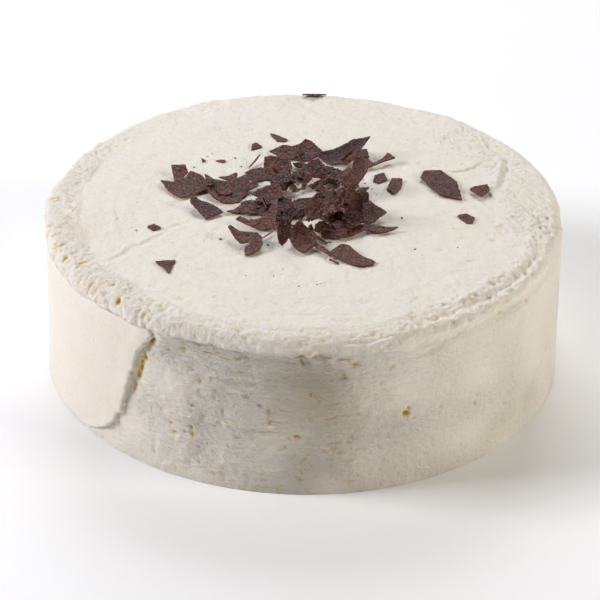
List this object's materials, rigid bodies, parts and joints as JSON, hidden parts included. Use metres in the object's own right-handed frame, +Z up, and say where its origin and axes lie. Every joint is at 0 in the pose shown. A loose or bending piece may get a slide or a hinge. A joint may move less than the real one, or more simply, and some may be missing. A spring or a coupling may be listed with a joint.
{
  "type": "frosted cake",
  "caption": "Round one-tier frosted cake with spatula-smoothed cream, a torn rim, a proud smear on the wall, and dark chocolate shards heaped and scattered on its top",
  "frame": {"origin": "middle of the flat foot of the cake, on the surface that it stands on", "axes": "+Z up through the cake's middle, +X to the right and -Y to the front as the picture shows it"},
  "size_m": [0.2378, 0.2376, 0.0977],
  "materials": {
    "cream": "soft satin, slightly translucent ivory cream",
    "chocolate": "grainy dark brown with small soft highlights"
  },
  "bodies": {
    "root": {"cake": "cream", "chocolate_heap": "chocolate", "shard_right": "chocolate", "shard_front": "chocolate", "shard_front_left": "chocolate", "shard_back_rim": "chocolate"}
  },
  "joints": []
}
